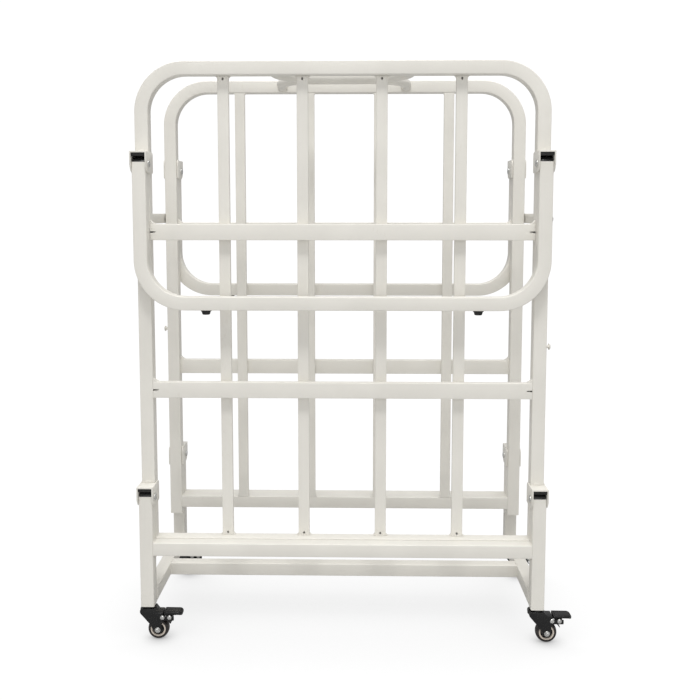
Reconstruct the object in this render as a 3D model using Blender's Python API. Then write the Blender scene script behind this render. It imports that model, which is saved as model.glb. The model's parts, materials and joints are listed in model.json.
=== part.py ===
"""Folding cot frame, folded upright: two identical deck halves hinged on a base with four casters.

Metres, +Z up, standing on Z = 0. The front half faces -Y, and the rear half is the same half
turned half a turn about Z. Both decks stand with their mattress sides facing each other.
"""
import math

import bmesh
import bpy
from mathutils import Matrix, Vector

# Driving dimensions
GAP = 0.0003                     # clearance kept between pieces that touch
TUBE = 0.025                     # square steel tube, outside
WALL = 0.0015                    # its wall
WIDTH = 0.762                    # width over the side tubes
DECK_SPACING = 0.238             # centre to centre of the two folded decks
HINGE_OFFSET = 0.026             # from a deck tube's centre out to its hinge axes
FOLD_HEIGHT = 0.2762             # deck hinge above the floor
LEG_HINGE_HEIGHT = 0.8992        # folding leg hinge above the floor
DECK_TOP = 1.0862                # outer end of a folded deck
DECK_BOTTOM = 0.1532             # inner end of a folded deck
BEND = 0.080                     # bend radius on the tube's centre line
END_RAIL_HEIGHT = 0.1792         # centre of the rail across the deck's inner end

CROSSBAR_HEIGHTS = (0.4777, 0.7747)
CROSSBAR_DEPTH = 0.015
CROSSBAR_TALL = 0.030
SLATS = 4
SLAT_WIDE = 0.021
SLAT_WALL = 0.0012

BRACKET_PLATE = 0.0025           # thickness of the pressed hinge bracket
BRACKET_FRONT = -0.017           # bracket outline, measured from its hinge axis
BRACKET_BACK = 0.0345
BRACKET_TOP = 0.0225
BRACKET_BOTTOM = -0.016
STOP_PAD = 0.0133                # underside of the stop over the hinge axis
LEG_END = 0.0033                 # leg tube above its hinge axis
PIN_RADIUS = 0.004
PIN_HEAD_RADIUS = 0.0053
PIN_DOME = 0.0030
PIN_FLAT_HEAD = 0.0015
BORE_GAP = 0.0003

FOOT_HEIGHT = 0.0085
FOOT_SPACING = 0.502
FOOT_RADII = (0.0098, 0.0070)
FOOT_STEM_RADIUS = 0.004
FOOT_STEM = 0.005

BASE_BOTTOM = 0.0655             # underside of the legs and of the low brace
LEG_BRIDGE_HEIGHT = 0.1777       # centre of the rail between two legs
PLUG = 0.014                     # solid end plug that holds the caster stem
STEM_RADIUS = 0.004
STEM = 0.012

WHEEL_RADIUS = 0.020
WHEEL_HALF_WIDTH = 0.0085
TRAIL = 0.0185                   # wheel axle behind the swivel axis
AXLE_RADIUS = 0.003
FORK_HALF_WIDTH = 0.0125
FORK_PLATE = 0.0025
FORK_FRONT = -0.0165
FORK_BACK = 0.0495
FORK_WEB = 0.0510                # underside of the web over the wheel
FORK_TOP = 0.0612                # under the collar
ARM_TOP = 0.0536                 # flat arm between the collar and the pedal
ARM_END = 0.0285
CHEEK_TOP = 0.0470               # cheeks beside the pedal
CHEEK_BOTTOM = 0.0385
COLLAR_RADIUS = 0.0120
PEDAL_PIN = Vector((0.0413, 0.0, 0.0447))
PEDAL_PIN_RADIUS = 0.002
PEDAL_HALF_WIDTH = 0.0114
PEDAL_START = 0.0300
TREAD_TOP = 0.0549
TREAD_BOTTOM = 0.0495
TONGUE_FRONT = 0.0340            # the pedal's part between the cheeks
TONGUE_BACK = 0.0475
TONGUE_BOTTOM = 0.0405

HANDLE_RADIUS = 0.0095
HANDLE_WALL = 0.0015
HANDLE_SPACING = 0.258           # between the handle's two ends
HANDLE_BEND = 0.070
HANDLE_REACH = 0.0955            # deck face to the middle of the grip

LATCH_HEIGHT = 0.7987
LATCH_TALL = 0.020
LATCH_THICK = 0.004
LATCH_CLEAR = 0.0015             # latch bar off the side tube
LATCH_OVERHANG = 0.012           # bar past its rivet and past its notch
NOTCH_WIDE = 0.007
NOTCH_DEEP = 0.0135
LATCH_RIVET_RADIUS = 0.003
LATCH_HEAD_RADIUS = 0.006
LATCH_HEAD = 0.004               # rivet head proud of the latch bar

# Worked out from the above
SIDE_X = (WIDTH - TUBE) / 2
INNER_X = SIDE_X - TUBE / 2
DECK_Y = -DECK_SPACING / 2
HINGE_Y = DECK_Y - HINGE_OFFSET
FOLD_AXIS = Vector((0.0, HINGE_Y, FOLD_HEIGHT))
LEG_AXIS = Vector((0.0, HINGE_Y, LEG_HINGE_HEIGHT))
FLANGE_OUT = TUBE / 2 + GAP + BRACKET_PLATE
LATCH_X = WIDTH / 2 + LATCH_CLEAR
LATCH_OUTER = LATCH_X + LATCH_THICK + LATCH_HEAD
PARKING_STUD_DROP = DECK_SPACING  # the notch drops over this stud when the latch hangs
PEDAL_TIP = 0.065
# The pedals trail to +X, so the middle of the whole cot lies a little to +X of the frame's.
CENTRE_SHIFT = -(SIDE_X + PEDAL_TIP - LATCH_OUTER) / 2

HALF_TURN = math.pi
ROUND_STEPS = 12
BEND_STEPS = 6


def clear_scene():
    for item in list(bpy.data.objects):
        bpy.data.objects.remove(item, do_unlink=True)


def material(name, colour, roughness, metallic=0.0):
    made = bpy.data.materials.new(name)
    made.use_nodes = True
    shader = made.node_tree.nodes["Principled BSDF"]
    shader.inputs["Base Color"].default_value = (*colour, 1.0)
    shader.inputs["Roughness"].default_value = roughness
    shader.inputs["Metallic"].default_value = metallic
    return made


# Mesh tools

def temporary(bm):
    """Closes a bmesh into an object that is used for one piece or as a cutter."""
    bmesh.ops.remove_doubles(bm, verts=bm.verts, dist=0.000001)
    bmesh.ops.recalc_face_normals(bm, faces=bm.faces)
    mesh = bpy.data.meshes.new("shape")
    bm.to_mesh(mesh)
    bm.free()
    made = bpy.data.objects.new("shape", mesh)
    bpy.context.scene.collection.objects.link(made)
    made.hide_render = True
    made.display_type = "WIRE"
    return made


def combine(target, tool, operation):
    """Joins or cuts two temporary objects with an exact Boolean, and drops the tool."""
    cut = target.modifiers.new(operation.lower(), "BOOLEAN")
    cut.operation = operation
    cut.solver = "EXACT"
    cut.object = tool
    graph = bpy.context.evaluated_depsgraph_get()
    mesh = bpy.data.meshes.new_from_object(target.evaluated_get(graph))
    target.modifiers.clear()
    target.data = mesh
    bpy.data.objects.remove(tool, do_unlink=True)
    return target


def take_mesh(shape, name, smooth=False):
    """Keeps a temporary object's mesh and removes the object."""
    mesh = shape.data
    mesh.name = name
    bpy.data.objects.remove(shape, do_unlink=True)
    if smooth:
        mesh.shade_smooth()
        mesh.set_sharp_from_angle(angle=math.radians(35))
    return mesh


def box(low, high):
    bm = bmesh.new()
    bmesh.ops.create_cube(bm, size=1.0)
    low = Vector(low)
    high = Vector(high)
    bmesh.ops.scale(bm, vec=high - low, verts=bm.verts)
    bmesh.ops.translate(bm, vec=(low + high) / 2, verts=bm.verts)
    return temporary(bm)


def prism(outline, low, high):
    """An outline in the YZ plane, pulled from X = low to X = high."""
    bm = bmesh.new()
    face = bm.faces.new([bm.verts.new((low, y, z)) for y, z in outline])
    pull(bm, [face], (high - low, 0.0, 0.0))
    return temporary(bm)


def rod(radius, low, high, centre=(0.0, 0.0, 0.0), axis="X"):
    """A round bar from low to high along an axis through centre."""
    return turned([(0.0, low), (radius, low), (radius, high), (0.0, high)], centre, axis)


def turned(profile, centre=(0.0, 0.0, 0.0), axis="X"):
    """A profile of (radius, height) points, turned about an axis through centre."""
    bm = bmesh.new()
    points = [bm.verts.new((radius, 0.0, height)) for radius, height in profile]
    edges = [bm.edges.new(pair) for pair in zip(points, points[1:])]
    if profile[0] == profile[-1]:
        bmesh.ops.remove_doubles(bm, verts=bm.verts, dist=0.000001)
        points = list(bm.verts)
        edges = list(bm.edges)
    bmesh.ops.spin(bm, geom=points + edges, cent=(0, 0, 0), axis=(0, 0, 1),
                   angle=math.tau, steps=ROUND_STEPS, use_merge=True)
    turn = {"X": Matrix.Rotation(math.pi / 2, 4, "Y"),
            "Y": Matrix.Rotation(-math.pi / 2, 4, "X"),
            "Z": Matrix.Identity(4)}[axis]
    bmesh.ops.transform(bm, matrix=Matrix.Translation(centre) @ turn, verts=bm.verts)
    return temporary(bm)


def with_borders(faces):
    """Faces with their edges and corners, as the sweeping operators need them."""
    edges = {edge for face in faces for edge in face.edges}
    corners = {corner for face in faces for corner in face.verts}
    return faces + list(edges) + list(corners)


def pull(bm, faces, vector):
    """Extrudes faces along a vector, and returns the faces at the far end."""
    out = bmesh.ops.extrude_face_region(bm, geom=with_borders(faces))["geom"]
    moved = [item for item in out if isinstance(item, bmesh.types.BMVert)]
    bmesh.ops.translate(bm, vec=Vector(vector), verts=moved)
    return [item for item in out if isinstance(item, bmesh.types.BMFace)]


def bend(bm, faces, centre, axis, angle):
    """Sweeps faces round a bend, and returns the faces at the far end."""
    out = bmesh.ops.spin(bm, geom=with_borders(faces), cent=centre, axis=axis, angle=angle,
                         steps=BEND_STEPS)["geom_last"]
    return [item for item in out if isinstance(item, bmesh.types.BMFace)]


def tube_end(bm, corners, wall):
    """The ring-shaped cut end of a tube, from its outside corners."""
    bore = bm.faces.new([bm.verts.new(corner) for corner in corners])
    bm.normal_update()
    bmesh.ops.inset_region(bm, faces=[bore], thickness=wall, use_boundary=True, use_even_offset=True)
    bmesh.ops.delete(bm, geom=[bore], context="FACES_ONLY")
    return list(bm.faces)


def straight_tube(size, wall, along):
    """A rectangular tube, open at both ends, centred on its own origin."""
    half = Vector(size) / 2
    first, second = [axis for axis in range(3) if axis != along]
    corners = []
    for a, b in ((-1, -1), (1, -1), (1, 1), (-1, 1)):
        corner = Vector((0.0, 0.0, 0.0))
        corner[along] = -half[along]
        corner[first] = a * half[first]
        corner[second] = b * half[second]
        corners.append(corner)
    bm = bmesh.new()
    vector = Vector((0.0, 0.0, 0.0))
    vector[along] = size[along]
    pull(bm, tube_end(bm, corners, wall), vector)
    return temporary(bm)


def bent_loop(end, far, direction):
    """A U of square tube in the plane Y = 0: its ends at Z = end, its far side's centre at Z = far."""
    half = TUBE / 2
    corners = [(-SIDE_X + a * half, b * half, end) for a, b in ((-1, -1), (1, -1), (1, 1), (-1, 1))]
    bm = bmesh.new()
    faces = tube_end(bm, corners, WALL)
    leg = Vector((0.0, 0.0, far - direction * BEND - end))
    faces = pull(bm, faces, leg)
    faces = bend(bm, faces, (-SIDE_X + BEND, 0, far - direction * BEND), (0, direction, 0), math.pi / 2)
    faces = pull(bm, faces, (2 * (SIDE_X - BEND), 0.0, 0.0))
    faces = bend(bm, faces, (SIDE_X - BEND, 0, far - direction * BEND), (0, direction, 0), math.pi / 2)
    pull(bm, faces, -leg)
    return temporary(bm)


def weld_rail(target, half_length, centre, bore_reach):
    """Welds a square rail along X into a tube frame, its bore open into the tubes at its ends."""
    half = Vector((half_length, TUBE / 2, TUBE / 2))
    bore = Vector((bore_reach, TUBE / 2 - WALL, TUBE / 2 - WALL))
    centre = Vector(centre)
    combine(target, box(centre - half, centre + half), "UNION")
    return combine(target, box(centre - bore, centre + bore), "DIFFERENCE")


# Deck pieces, measured from the deck's fold axis

def deck_frame_mesh():
    frame = bent_loop(DECK_BOTTOM - FOLD_HEIGHT, DECK_TOP - TUBE / 2 - FOLD_HEIGHT, 1)
    weld_rail(frame, INNER_X + WALL / 2, (0.0, 0.0, END_RAIL_HEIGHT - FOLD_HEIGHT), SIDE_X)
    latch_z = LATCH_HEIGHT - FOLD_HEIGHT
    rivet_bore = rod(LATCH_RIVET_RADIUS + BORE_GAP, SIDE_X, SIDE_X + TUBE, (0.0, 0.0, latch_z))
    combine(frame, rivet_bore, "DIFFERENCE")
    wall = WIDTH / 2 - WALL / 2
    head = LATCH_X + LATCH_THICK + GAP
    profile = [(0.0, wall), (LATCH_RIVET_RADIUS, wall), (LATCH_RIVET_RADIUS, head),
               (LATCH_HEAD_RADIUS, head), (LATCH_HEAD_RADIUS, LATCH_OUTER), (0.0, LATCH_OUTER)]
    combine(frame, turned(profile, (0.0, 0.0, latch_z - PARKING_STUD_DROP)), "UNION")
    bmesh_frame = bmesh.new()
    bmesh_frame.from_mesh(frame.data)
    bmesh.ops.translate(bmesh_frame, vec=(0.0, HINGE_OFFSET, 0.0), verts=bmesh_frame.verts)
    bmesh_frame.to_mesh(frame.data)
    bmesh_frame.free()
    return take_mesh(frame, "deck_frame")


def bracket_mesh():
    """A pressed channel that straddles the deck tube and hangs the leg between its cheeks."""
    outline = [(BRACKET_FRONT, BRACKET_TOP), (BRACKET_FRONT, -0.003), (-0.003, BRACKET_BOTTOM),
               (BRACKET_BACK, BRACKET_BOTTOM), (BRACKET_BACK, BRACKET_TOP)]
    bracket = prism(outline, -FLANGE_OUT, FLANGE_OUT)
    cheek = TUBE / 2 + GAP
    tube_face = HINGE_OFFSET - TUBE / 2
    leg_slot = box((-cheek, -TUBE, -TUBE), (cheek, 2 * TUBE, STOP_PAD))
    tube_slot = box((-cheek, tube_face - GAP, -TUBE), (cheek, 2 * TUBE, 2 * TUBE))
    combine(bracket, leg_slot, "DIFFERENCE")
    combine(bracket, tube_slot, "DIFFERENCE")
    combine(bracket, rod(PIN_RADIUS + BORE_GAP, -TUBE, TUBE), "DIFFERENCE")
    return take_mesh(bracket, "hinge_bracket")


def pin_mesh():
    """A hinge rivet along X, with its domed head towards +X."""
    face = FLANGE_OUT + GAP
    profile = [(0.0, -face - PIN_FLAT_HEAD), (PIN_HEAD_RADIUS, -face - PIN_FLAT_HEAD),
               (PIN_HEAD_RADIUS, -face), (PIN_RADIUS, -face), (PIN_RADIUS, face),
               (PIN_HEAD_RADIUS, face), (PIN_HEAD_RADIUS * 0.75, face + PIN_DOME * 0.7),
               (0.0, face + PIN_DOME)]
    return take_mesh(turned(profile), "hinge_pin", smooth=True)


def folding_leg_mesh():
    """The folding leg, measured from its own hinge axis."""
    bar_centre = -(FOLD_HEIGHT - FOOT_HEIGHT - TUBE / 2)
    leg = bent_loop(LEG_END, bar_centre, -1)
    combine(leg, rod(PIN_RADIUS + BORE_GAP, -WIDTH, WIDTH), "DIFFERENCE")
    for side in (-1, 1):
        hole = rod(FOOT_STEM_RADIUS + BORE_GAP, bar_centre - TUBE, bar_centre,
                   (side * FOOT_SPACING / 2, 0.0, 0.0), "Z")
        combine(leg, hole, "DIFFERENCE")
    return take_mesh(leg, "folding_leg")


def foot_mesh():
    """A tapered rubber foot with its push-in stem, measured from the leg bar's underside."""
    top, bottom = FOOT_RADII
    profile = [(0.0, -FOOT_HEIGHT), (bottom, -FOOT_HEIGHT), (top, -GAP), (FOOT_STEM_RADIUS, -GAP),
               (FOOT_STEM_RADIUS, FOOT_STEM), (0.0, FOOT_STEM)]
    return take_mesh(turned(profile, axis="Z"), "rubber_foot", smooth=True)


def handle_mesh():
    """A bow of round tube on the deck's mattress side, measured from the middle of that face."""
    end_x = HANDLE_SPACING / 2
    straight = HANDLE_REACH - HANDLE_BEND
    bm = bmesh.new()
    corners = []
    for step in range(ROUND_STEPS):
        angle = math.tau * step / ROUND_STEPS
        corners.append((-end_x + HANDLE_RADIUS * math.cos(angle), GAP, HANDLE_RADIUS * math.sin(angle)))
    faces = tube_end(bm, corners, HANDLE_WALL)
    faces = pull(bm, faces, (0.0, straight - GAP, 0.0))
    faces = bend(bm, faces, (-end_x + HANDLE_BEND, straight, 0.0), (0, 0, -1), math.pi / 2)
    faces = pull(bm, faces, (2 * (end_x - HANDLE_BEND), 0.0, 0.0))
    faces = bend(bm, faces, (end_x - HANDLE_BEND, straight, 0.0), (0, 0, -1), math.pi / 2)
    pull(bm, faces, (0.0, GAP - straight, 0.0))
    return take_mesh(temporary(bm), "handle", smooth=True)


def latch_mesh():
    """The side latch, measured from its rivet: a flat bar along +Y with a notch in its lower edge."""
    end = DECK_SPACING + LATCH_OVERHANG
    high = LATCH_TALL / 2
    corner = LATCH_TALL / 4
    notch_low = DECK_SPACING - NOTCH_WIDE / 2
    notch_high = DECK_SPACING + NOTCH_WIDE / 2
    roof = NOTCH_DEEP - high
    outline = [(-LATCH_OVERHANG, -corner), (-LATCH_OVERHANG + corner, -high), (notch_low, -high),
               (notch_low, roof), (notch_high, roof), (notch_high, -high), (end - corner, -high),
               (end, -corner), (end, corner), (end - corner, high), (-LATCH_OVERHANG + corner, high),
               (-LATCH_OVERHANG, corner)]
    latch = prism(outline, LATCH_X, LATCH_X + LATCH_THICK)
    middle = LATCH_X + LATCH_THICK / 2
    profile = [(0.0, SIDE_X), (LATCH_RIVET_RADIUS, SIDE_X), (LATCH_RIVET_RADIUS, middle),
               (LATCH_HEAD_RADIUS, middle), (LATCH_HEAD_RADIUS, LATCH_OUTER), (0.0, LATCH_OUTER)]
    return take_mesh(combine(latch, turned(profile), "UNION"), "side_latch")


# Base pieces, measured on the leg's centre line at floor level

def caster_leg_mesh():
    half = TUBE / 2
    bore = half - WALL
    top = FOLD_HEIGHT + LEG_END
    leg = box((-half, -half, BASE_BOTTOM), (half, half, top))
    combine(leg, box((-bore, -bore, BASE_BOTTOM + PLUG), (bore, bore, top + TUBE)), "DIFFERENCE")
    combine(leg, rod(PIN_RADIUS + BORE_GAP, -TUBE, TUBE, (0.0, 0.0, FOLD_HEIGHT)), "DIFFERENCE")
    stem_hole = rod(STEM_RADIUS + BORE_GAP, BASE_BOTTOM - PLUG, BASE_BOTTOM + 2 * PLUG, axis="Z")
    combine(leg, stem_hole, "DIFFERENCE")
    return take_mesh(leg, "caster_leg")


def brace_mesh():
    """Two side arms and a cross stretcher welded into one H, measured from the middle of the cot."""
    length = 2 * (-HINGE_Y - TUBE / 2 - GAP)
    height = BASE_BOTTOM + TUBE / 2
    brace = None
    for side in (-1, 1):
        arm = straight_tube((TUBE, length, TUBE), WALL, 1)
        bm = bmesh.new()
        bm.from_mesh(arm.data)
        bmesh.ops.translate(bm, vec=(side * SIDE_X, 0.0, height), verts=bm.verts)
        bm.to_mesh(arm.data)
        bm.free()
        if brace is None:
            brace = arm
        else:
            combine(brace, arm, "UNION")
    weld_rail(brace, INNER_X + WALL / 2, (0.0, 0.0, height), SIDE_X)
    return take_mesh(brace, "base_brace")


def fork_mesh():
    """A caster's fork with its stem, collar, axle and pedal pin, trailing towards +X."""
    front = [(-0.0140, FORK_TOP), (FORK_FRONT, 0.0575), (FORK_FRONT, 0.0545), (0.0035, 0.0312), (0.0115, 0.0170)]
    boss = [(0.0150, 0.0135), (0.0220, 0.0135), (0.0258, 0.0175), (0.0265, 0.0340), (0.0300, CHEEK_BOTTOM)]
    back = [(FORK_BACK, CHEEK_BOTTOM), (FORK_BACK, CHEEK_TOP), (ARM_END, CHEEK_TOP), (ARM_END, ARM_TOP)]
    outline = [*front, *boss, *back, (0.0185, ARM_TOP), (0.0130, FORK_TOP)]
    bm = bmesh.new()
    face = bm.faces.new([bm.verts.new((x, -FORK_HALF_WIDTH, z)) for x, z in outline])
    pull(bm, [face], (0.0, 2 * FORK_HALF_WIDTH, 0.0))
    fork = temporary(bm)
    inside = FORK_HALF_WIDTH - FORK_PLATE
    combine(fork, box((-TUBE, -inside, -TUBE), (2 * TUBE, inside, FORK_WEB)), "DIFFERENCE")
    plate_middle = FORK_HALF_WIDTH - FORK_PLATE / 2
    axle = rod(AXLE_RADIUS, -plate_middle, plate_middle, (TRAIL, 0.0, WHEEL_RADIUS), "Y")
    combine(fork, axle, "UNION")
    combine(fork, rod(PEDAL_PIN_RADIUS, -plate_middle, plate_middle, PEDAL_PIN, "Y"), "UNION")
    shoulder = BASE_BOTTOM - 2 * GAP
    profile = [(0.0, FORK_TOP - 0.002), (COLLAR_RADIUS - 0.001, FORK_TOP - 0.002), (COLLAR_RADIUS, FORK_TOP),
               (COLLAR_RADIUS, shoulder), (STEM_RADIUS, shoulder), (STEM_RADIUS, BASE_BOTTOM + STEM),
               (0.0, BASE_BOTTOM + STEM)]
    combine(fork, turned(profile, axis="Z"), "UNION")
    return take_mesh(fork, "caster_fork")


def wheel_mesh():
    """Wheel and tyre on a plain bore, measured from the axle."""
    bore = AXLE_RADIUS + BORE_GAP
    half = WHEEL_HALF_WIDTH
    shoulder = 0.003
    profile = [(bore, -half), (WHEEL_RADIUS - shoulder, -half), (WHEEL_RADIUS, -half + shoulder),
               (WHEEL_RADIUS, half - shoulder), (WHEEL_RADIUS - shoulder, half), (bore, half),
               (bore, -half)]
    return take_mesh(turned(profile, axis="Y"), "caster_wheel", smooth=True)


def pedal_mesh():
    """The brake pedal, measured from the fork: narrow between the fork's cheeks, wide at its tread."""
    inside = FORK_HALF_WIDTH - FORK_PLATE - GAP
    tongue = [(TONGUE_FRONT, TREAD_BOTTOM), (TONGUE_FRONT, 0.0430), (0.0390, TONGUE_BOTTOM),
              (0.0460, TONGUE_BOTTOM), (TONGUE_BACK, TREAD_BOTTOM)]
    tread = [(0.0615, 0.0485), (PEDAL_TIP, 0.0505), (PEDAL_TIP, 0.0530), (0.0620, TREAD_TOP),
             (PEDAL_START, TREAD_TOP), (PEDAL_START, TREAD_BOTTOM)]
    bm = bmesh.new()
    face = bm.faces.new([bm.verts.new((x, -PEDAL_HALF_WIDTH, z)) for x, z in tongue + tread])
    pull(bm, [face], (0.0, 2 * PEDAL_HALF_WIDTH, 0.0))
    pedal = temporary(bm)
    for side in (-1, 1):
        low, high = sorted((side * inside, side * TUBE))
        beside_tongue = box((0.0, low, 0.0), (2 * TUBE, high, TREAD_BOTTOM))
        combine(pedal, beside_tongue, "DIFFERENCE")
    combine(pedal, rod(PEDAL_PIN_RADIUS + BORE_GAP, -TUBE, TUBE, PEDAL_PIN, "Y"), "DIFFERENCE")
    return take_mesh(pedal, "brake_pedal")


# Assembly

class Shop:
    """The meshes and finishes that both halves and all four corners share."""

    def __init__(self):
        self.paint = material("white_powder_coat", (0.80, 0.80, 0.78), 0.38)
        self.zinc = material("zinc_rivet", (0.62, 0.62, 0.60), 0.30, 1.0)
        self.black = material("black_nylon", (0.018, 0.018, 0.019), 0.45)
        self.rubber = material("black_rubber", (0.020, 0.020, 0.020), 0.75)
        self.tyre = material("grey_tyre", (0.045, 0.045, 0.045), 0.70)
        slat_length = DECK_TOP - TUBE - END_RAIL_HEIGHT - TUBE / 2 - 2 * GAP
        slat_deep = TUBE - CROSSBAR_DEPTH - GAP
        across = 2 * (INNER_X - GAP)
        self.frame = deck_frame_mesh()
        self.crossbar = take_mesh(
            straight_tube((across, CROSSBAR_DEPTH, CROSSBAR_TALL), SLAT_WALL, 0), "crossbar")
        self.slat = take_mesh(straight_tube((SLAT_WIDE, slat_deep, slat_length), SLAT_WALL, 2), "slat")
        self.bracket = bracket_mesh()
        self.pin = pin_mesh()
        self.folding_leg = folding_leg_mesh()
        self.foot = foot_mesh()
        self.handle = handle_mesh()
        self.latch = latch_mesh()
        self.leg = caster_leg_mesh()
        self.bridge = take_mesh(straight_tube((across, TUBE, TUBE), WALL, 0), "leg_crossbar")
        self.brace = brace_mesh()
        self.fork = fork_mesh()
        self.wheel = wheel_mesh()
        self.pedal = pedal_mesh()


def axis_empty(name, parent, place, turn=0.0):
    made = bpy.data.objects.new(name, None)
    bpy.context.scene.collection.objects.link(made)
    made.empty_display_size = 0.05
    made.parent = parent
    made.location = place
    made.rotation_euler = (0.0, 0.0, turn)
    return made


def piece(name, mesh, finish, parent, place=(0.0, 0.0, 0.0), turn=0.0):
    made = bpy.data.objects.new(name, mesh)
    bpy.context.scene.collection.objects.link(made)
    if not mesh.materials:
        mesh.materials.append(finish)
    made.parent = parent
    made.location = place
    made.rotation_euler = (0.0, 0.0, turn)
    return made


def side_name(half_name, side):
    """Left or right as seen from the front; the rear half is turned, so its sides swap."""
    seen = side if half_name == "front" else -side
    return "right" if seen > 0 else "left"


def build_deck(shop, half_name, fold):
    piece(f"{half_name}_deck_frame", shop.frame, shop.paint, fold)
    for name, height in zip(("lower", "upper"), CROSSBAR_HEIGHTS):
        place = (0.0, HINGE_OFFSET - (TUBE - CROSSBAR_DEPTH) / 2, height - FOLD_HEIGHT)
        piece(f"{half_name}_{name}_crossbar", shop.crossbar, shop.paint, fold, place)
    clear = (2 * INNER_X - SLATS * SLAT_WIDE) / (SLATS + 1)
    slat_deep = TUBE - CROSSBAR_DEPTH - GAP
    slat_y = HINGE_OFFSET + TUBE / 2 - slat_deep / 2
    slat_z = (DECK_TOP - TUBE + END_RAIL_HEIGHT + TUBE / 2) / 2 - FOLD_HEIGHT
    for number in range(SLATS):
        x = -INNER_X + (number + 1) * clear + (number + 0.5) * SLAT_WIDE
        seen = number + 1 if half_name == "front" else SLATS - number
        piece(f"{half_name}_slat_{seen}", shop.slat, shop.paint, fold, (x, slat_y, slat_z))
    handle_place = (0.0, HINGE_OFFSET + TUBE / 2, DECK_TOP - TUBE / 2 - FOLD_HEIGHT)
    piece(f"{half_name}_handle", shop.handle, shop.paint, fold, handle_place)


def build_hinges(shop, half_name, fold):
    """Each hinge is a bracket welded to the deck and a rivet; the rivet's dome faces the middle."""
    for level, height in (("lower", 0.0), ("upper", LEG_HINGE_HEIGHT - FOLD_HEIGHT)):
        for side in (-1, 1):
            place = (side * SIDE_X, 0.0, height)
            name = f"{half_name}_{side_name(half_name, side)}_{level}_hinge"
            piece(f"{name}_bracket", shop.bracket, shop.paint, fold, place)
            turn = 0.0 if side < 0 else HALF_TURN
            piece(f"{name}_pin", shop.pin, shop.zinc, fold, place, turn)


def build_folding_leg(shop, half_name, fold):
    axis = axis_empty(f"{half_name}_leg_axis", fold, LEG_AXIS - FOLD_AXIS)
    piece(f"{half_name}_folding_leg", shop.folding_leg, shop.paint, axis)
    underside = -(FOLD_HEIGHT - FOOT_HEIGHT)
    for side in (-1, 1):
        place = (side * FOOT_SPACING / 2, 0.0, underside)
        piece(f"{half_name}_{side_name(half_name, side)}_foot", shop.foot, shop.rubber, axis, place)


def build_latch(shop, half_name, fold):
    side = side_name(half_name, 1)
    axis = axis_empty(f"{side}_latch_axis", fold, (0.0, HINGE_OFFSET, LATCH_HEIGHT - FOLD_HEIGHT))
    piece(f"{side}_latch", shop.latch, shop.paint, axis)


def build_base(shop, half_name, half):
    for side in (-1, 1):
        name = f"{half_name}_{side_name(half_name, side)}"
        place = (side * SIDE_X, HINGE_Y, 0.0)
        piece(f"{name}_leg", shop.leg, shop.paint, half, place)
    piece(f"{half_name}_leg_crossbar", shop.bridge, shop.paint, half, (0.0, HINGE_Y, LEG_BRIDGE_HEIGHT))


def build_caster(shop, name, origin, place):
    swivel = axis_empty(f"{name}_swivel_axis", origin, place)
    piece(f"{name}_caster_fork", shop.fork, shop.black, swivel)
    spin = axis_empty(f"{name}_wheel_axis", swivel, (TRAIL, 0.0, WHEEL_RADIUS))
    piece(f"{name}_caster_wheel", shop.wheel, shop.tyre, spin)
    press = axis_empty(f"{name}_pedal_axis", swivel, PEDAL_PIN)
    piece(f"{name}_brake_pedal", shop.pedal, shop.black, press, -PEDAL_PIN)


def build_cot():
    clear_scene()
    shop = Shop()
    origin = axis_empty("cot_origin", None, (CENTRE_SHIFT, 0.0, 0.0))
    for half_name, turn in (("front", 0.0), ("rear", HALF_TURN)):
        half = axis_empty(f"{half_name}_half", origin, (0.0, 0.0, 0.0), turn)
        fold = axis_empty(f"{half_name}_fold_axis", half, FOLD_AXIS)
        build_deck(shop, half_name, fold)
        build_hinges(shop, half_name, fold)
        build_folding_leg(shop, half_name, fold)
        build_latch(shop, half_name, fold)
        build_base(shop, half_name, half)
    piece("base_brace", shop.brace, shop.paint, origin)
    for end, y in (("front", HINGE_Y), ("rear", -HINGE_Y)):
        for side, x in (("left", -SIDE_X), ("right", SIDE_X)):
            build_caster(shop, f"{end}_{side}", origin, (x, y, 0.0))


build_cot()
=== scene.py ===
"""The looks of a folding cot, folded upright: powder-coated square tube, zinc rivets and nylon casters."""

import json
import math

import bmesh
import bpy
from mathutils import Matrix, Vector


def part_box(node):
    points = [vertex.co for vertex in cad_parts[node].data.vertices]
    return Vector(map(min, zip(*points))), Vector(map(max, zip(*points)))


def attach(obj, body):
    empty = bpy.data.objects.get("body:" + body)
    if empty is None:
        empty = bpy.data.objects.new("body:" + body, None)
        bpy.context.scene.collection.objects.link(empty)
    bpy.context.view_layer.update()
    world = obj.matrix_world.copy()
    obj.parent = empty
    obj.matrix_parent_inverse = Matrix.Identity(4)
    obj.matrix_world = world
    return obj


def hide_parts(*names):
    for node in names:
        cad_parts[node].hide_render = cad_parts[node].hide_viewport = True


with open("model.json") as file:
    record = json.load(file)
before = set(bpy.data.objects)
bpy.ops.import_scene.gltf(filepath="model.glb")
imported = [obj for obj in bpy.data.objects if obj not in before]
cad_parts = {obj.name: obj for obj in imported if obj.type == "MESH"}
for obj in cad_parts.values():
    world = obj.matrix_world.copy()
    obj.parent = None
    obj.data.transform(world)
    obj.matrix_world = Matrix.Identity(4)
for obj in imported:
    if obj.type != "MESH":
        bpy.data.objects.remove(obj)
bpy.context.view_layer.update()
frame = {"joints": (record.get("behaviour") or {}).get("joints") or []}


# ---------------------------------------------------------------- sizes, read from the frame

def size_of(node):
    low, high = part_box(node)
    return high - low


def middle_of(node):
    low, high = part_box(node)
    return (low + high) / 2


PIVOT = {joint["name"]: Vector(joint["pos_m"]) for joint in frame["joints"]}

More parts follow.
